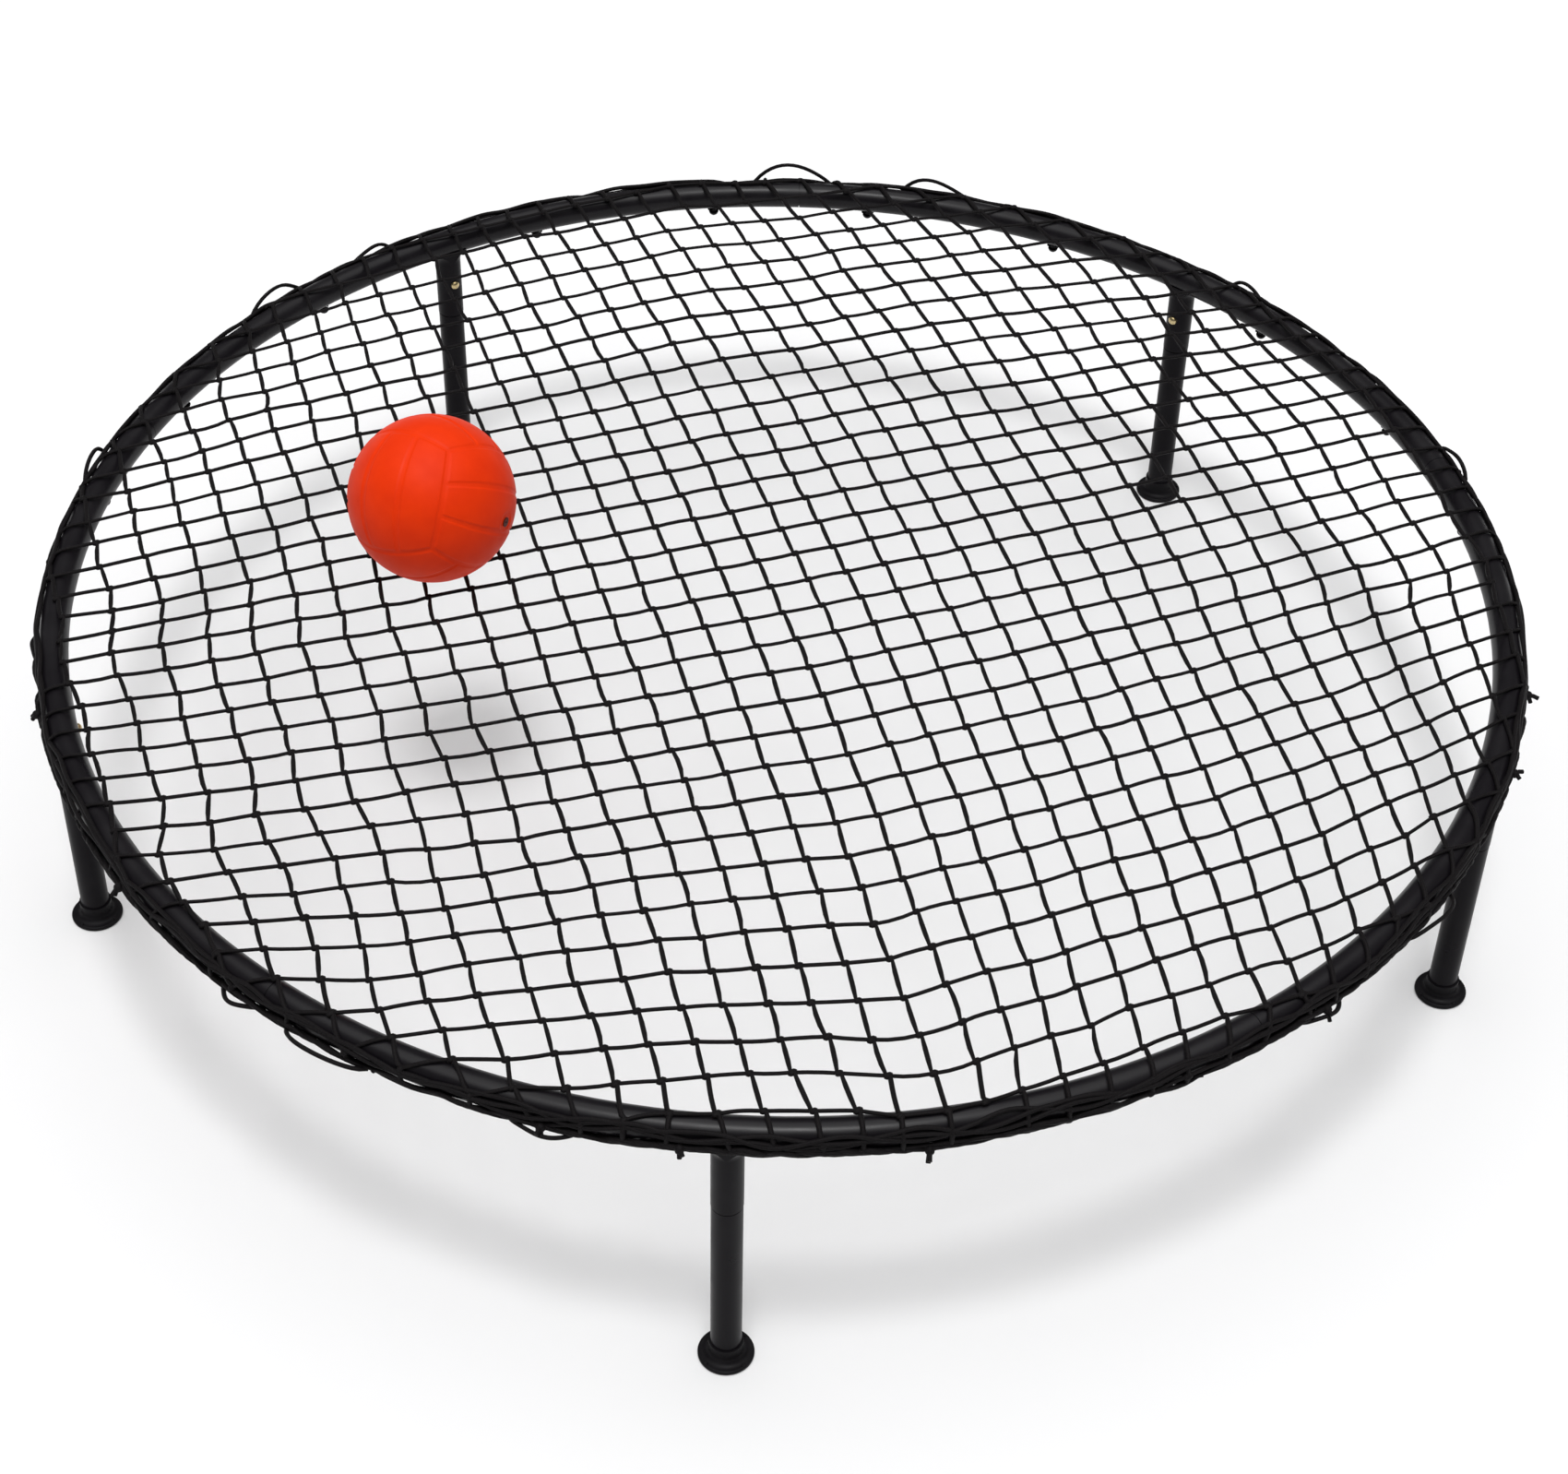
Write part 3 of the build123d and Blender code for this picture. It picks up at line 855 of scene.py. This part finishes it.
@dataclass
class Ball:
    """Inflated rubber ball with eighteen moulded panels in six groups of three strips."""

    finish: bpy.types.Material
    cuts: int = 127
    groove_half: float = 2.1 * MILLIMETRE
    shoulder: float = 0.7 * MILLIMETRE
    groove_depth: float = 0.5 * MILLIMETRE
    strip_angle: float = math.radians(15.0)
    valve_well: float = 5.6 * MILLIMETRE
    valve_depth: float = 0.7 * MILLIMETRE
    valve_slope: float = 1.6 * MILLIMETRE
    panel_turn: tuple[float, float, float] = (16.5, -36.7, -127.2)

    def groove(self, way: Vector, radius: float) -> float:
        """Share of the groove's depth at a direction, from 0 on a panel to 1 in a groove."""
        sizes = [abs(c) for c in way]
        face = sizes.index(max(sizes))
        across = way[(face + 1) % 3] / way[face]
        along = way[(face + 2) % 3] / way[face]
        gaps = [abs(abs(math.atan(across)) - self.strip_angle)]
        gaps += [abs(math.pi / 4 - abs(math.atan(c))) for c in (across, along)]
        away = min(gaps) * radius
        share = min(max((self.groove_half - away) / self.shoulder, 0.0), 1.0)
        return share * share * (3 - 2 * share)

    def build(self) -> None:
        """Makes the ball's skin and seats the valve in it."""
        low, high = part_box("ball_shell")
        centre, radius = (low + high) / 2, (high.z - low.z) / 2
        valve_low, valve_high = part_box("ball_valve")
        valve = ((valve_low + valve_high) / 2 - centre).normalized()
        panels = Euler([math.radians(a) for a in self.panel_turn]).to_matrix()
        work = bmesh.new()
        bmesh.ops.create_cube(work, size=2.0)
        bmesh.ops.subdivide_edges(work, edges=work.edges[:], cuts=self.cuts, use_grid_fill=True)
        for vertex in work.verts:
            way = Vector([math.tan(c * math.pi / 4) for c in vertex.co]).normalized()
            depth = self.groove_depth * self.groove(way, radius)
            turned = panels @ way
            from_valve = turned.angle(valve) * radius
            inside = (self.valve_well + self.valve_slope - from_valve) / self.valve_slope
            well = min(max(inside, 0.0), 1.0)
            depth = max(depth * (1 - well), self.valve_depth * well)
            vertex.co = centre + turned * (radius - depth)
        mesh = bpy.data.meshes.new("ball_skin")
        work.to_mesh(mesh)
        work.free()
        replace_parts(show("ball_skin", mesh, Body.BALL, self.finish), "ball_shell")


# ---------------------------------------------------------------------- carried-over CAD


@dataclass
class Hardware:
    """The CAD pieces that keep their shape and get their finishes."""

    finishes: dict[str, bpy.types.Material]

    def dress(self) -> None:
        """Gives each CAD node the finish of its family."""
        for name, node in frame["nodes"].items():
            for family, finish in self.finishes.items():
                if name.startswith(family):
                    node.data.materials.clear()
                    node.data.materials.append(finish)
                    log.info("%s: %s", name, finish.name)


@dataclass(frozen=True)
class SnapSpring:
    """Bent steel strip behind one station's snap button, which closes as the button is pressed."""

    station: str
    finish: bpy.types.Material

    def build(self) -> None:
        """Stands a copy of the CAD strip in the CAD strip's place, riding on the station's leg."""
        node_name = f"snap_spring_{self.station}"
        press = f"button_{self.station}_press"
        joint = next(j for j in frame["record"]["behaviour"]["joints"] if j["name"] == press)
        axis, travel = Vector(joint["axis"]).normalized(), joint["range_m"][1]
        work = bmesh.new()
        work.from_mesh(frame["nodes"][node_name].data)
        bmesh.ops.remove_doubles(work, verts=work.verts[:], dist=0.001 * MILLIMETRE)
        far = max((vertex.co for vertex in work.verts), key=axis.dot).copy()
        near = min((vertex.co for vertex in work.verts), key=axis.dot).copy()
        mesh = bpy.data.meshes.new(f"spring_strip_{self.station}")
        work.to_mesh(mesh)
        work.free()
        mesh.materials.append(self.finish)
        strip = bpy.data.objects.new(mesh.name, mesh)
        bpy.context.scene.collection.objects.link(strip)
        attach(strip, f"leg_{self.station}")
        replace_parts(strip, node_name)
        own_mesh(strip)


# ------------------------------------------------------------------------------ studio


@dataclass(frozen=True)
class Lamp:
    """One soft lamp far away, given by where it stands and how wide it looks."""

    name: str
    azimuth: float
    elevation: float
    width: float
    strength: float

    def place(self) -> None:
        """Adds the lamp to the scene."""
        light = bpy.data.lights.new(self.name, "SUN")
        light.energy = self.strength
        light.angle = math.radians(self.width)
        lamp = bpy.data.objects.new(self.name, light)
        tilt, turn = math.radians(90 - self.elevation), math.radians(self.azimuth)
        lamp.rotation_euler = Euler((tilt, 0.0, turn))
        bpy.context.scene.collection.objects.link(lamp)


@dataclass
class Studio:
    """Floor, light and camera."""

    floor_size: float = 60.0
    sky: float = 0.18
    lamps: tuple[Lamp, ...] = (
        Lamp("key", 0.0, 76.0, 14.0, 1.30),
        Lamp("overhead", 0.0, 88.0, 75.0, 2.05),
    )
    camera_place: tuple[float, float, float] = (0.0720, -1.4805, 1.4072)
    camera_yaw: float = math.radians(-2.968)
    camera_pitch: float = math.radians(42.273)
    camera_roll: float = math.radians(1.144)
    lens: float = 70.34
    shift: tuple[float, float] = (0.0081, -0.0009)

    def floor(self) -> None:
        """Lays a wide plain floor under the feet."""
        work = bmesh.new()
        bmesh.ops.create_grid(work, x_segments=1, y_segments=1, size=self.floor_size / 2)
        mesh = bpy.data.meshes.new("floor")
        work.to_mesh(mesh)
        work.free()
        mesh.transform(Matrix.Translation((0, 0, cad_box[0].z)))
        mesh.materials.append(PaleFloor().make())
        floor = bpy.data.objects.new("floor", mesh)
        bpy.context.scene.collection.objects.link(floor)

    def light(self) -> None:
        """Adds the lamps and a pale even sky."""
        for lamp in self.lamps:
            lamp.place()
        world = bpy.data.worlds.new("sky")
        world.use_nodes = True
        world.node_tree.nodes["Background"].inputs["Strength"].default_value = self.sky
        world.node_tree.nodes["Background"].inputs["Color"].default_value = (1.0, 1.0, 1.0, 1.0)
        bpy.context.scene.world = world
        bpy.context.scene.view_settings.view_transform = "Standard"

    def camera(self) -> None:
        """Sets up the camera."""
        yaw, pitch, roll = self.camera_yaw, self.camera_pitch, self.camera_roll
        level_way = Vector((math.sin(yaw), math.cos(yaw), 0.0))
        forward = level_way * math.cos(pitch) - Vector((0.0, 0.0, math.sin(pitch)))
        level = Vector((math.cos(yaw), -math.sin(yaw), 0.0))
        upright = level.cross(forward)
        right = level * math.cos(roll) + upright * math.sin(roll)
        up = upright * math.cos(roll) - level * math.sin(roll)
        data = bpy.data.cameras.new("camera")
        data.lens = self.lens
        data.sensor_width = 36.0
        data.shift_x, data.shift_y = self.shift
        camera = bpy.data.objects.new("camera", data)
        turn = Matrix((right, up, -forward)).transposed().to_4x4()
        camera.matrix_world = Matrix.Translation(self.camera_place) @ turn
        bpy.context.scene.collection.objects.link(camera)
        bpy.context.scene.camera = camera

    def build(self) -> None:
        """Makes the whole studio."""
        self.floor()
        self.light()
        self.camera()


def main() -> None:
    """Builds the finishes, the soft pieces, the ball and the studio."""
    logging.basicConfig(level=logging.INFO, format="%(name)s: %(message)s")
    coat = PowderCoat("black_powder_coat", gloss=0.2).make()
    cord = BraidedCord("black_braid").make()
    steel = BareMetal("spring_steel", (0.35, 0.35, 0.37), (0.18, 0.17, 0.17), 0.32).make()
    Hardware({
        "ring_segment": coat,
        "leg_socket": PowderCoat("socket_powder_coat", patch_size=18 * MILLIMETRE).make(),
        "leg_tube": PowderCoat("leg_powder_coat", patch_size=26 * MILLIMETRE).make(),
        "foot_cap": MouldedRubber("foot_rubber").make(),
        "snap_button": BareMetal("button_brass", (0.62, 0.50, 0.27), (0.36, 0.27, 0.13)).make(),
        "snap_spring": steel,
        "net_pegs": MouldedRubber("peg_plastic", matt=0.34).make(),
        "ball_valve": MouldedRubber("valve_rubber", (0.070, 0.0090, 0.0040), (0.12, 0.014, 0.005)).make(),
    }).dress()
    for station in STATIONS:
        SnapSpring(station, steel).build()
    net = Net(Rim.from_frame(), cord)
    net.build()
    Margin(net, cord).build()
    Ball(BallSkin("red_orange_rubber").make()).build()
    Studio().build()


if __name__ == "__main__":
    main()
